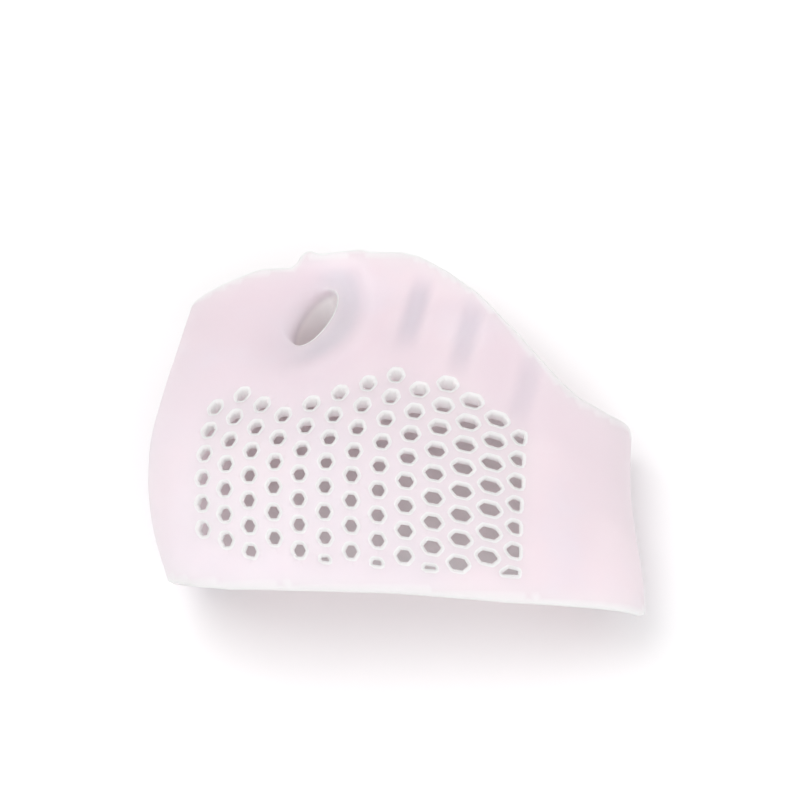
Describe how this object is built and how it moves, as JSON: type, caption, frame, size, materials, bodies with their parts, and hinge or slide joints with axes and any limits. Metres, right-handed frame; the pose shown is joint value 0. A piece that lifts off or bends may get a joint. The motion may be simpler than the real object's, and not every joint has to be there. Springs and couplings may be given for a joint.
{
  "type": "forefoot cushion sleeve",
  "caption": "Soft gel sleeve for the forefoot, with a domed pierced pad under the ball of the foot, a hollow toe post and a plain band over the top",
  "frame": {"origin": "on the flat outer face of the band, the side that lies on the table, under the middle of the pad", "axes": "+X from the big-toe side to the little-toe side, +Y towards the toes, +Z out of the sole side of the pad"},
  "size_m": [0.0962, 0.076, 0.0332],
  "materials": {
    "gel": "milky translucent gel, soft satin"
  },
  "bodies": {
    "root": {"gel_sleeve": "gel"}
  },
  "joints": []
}
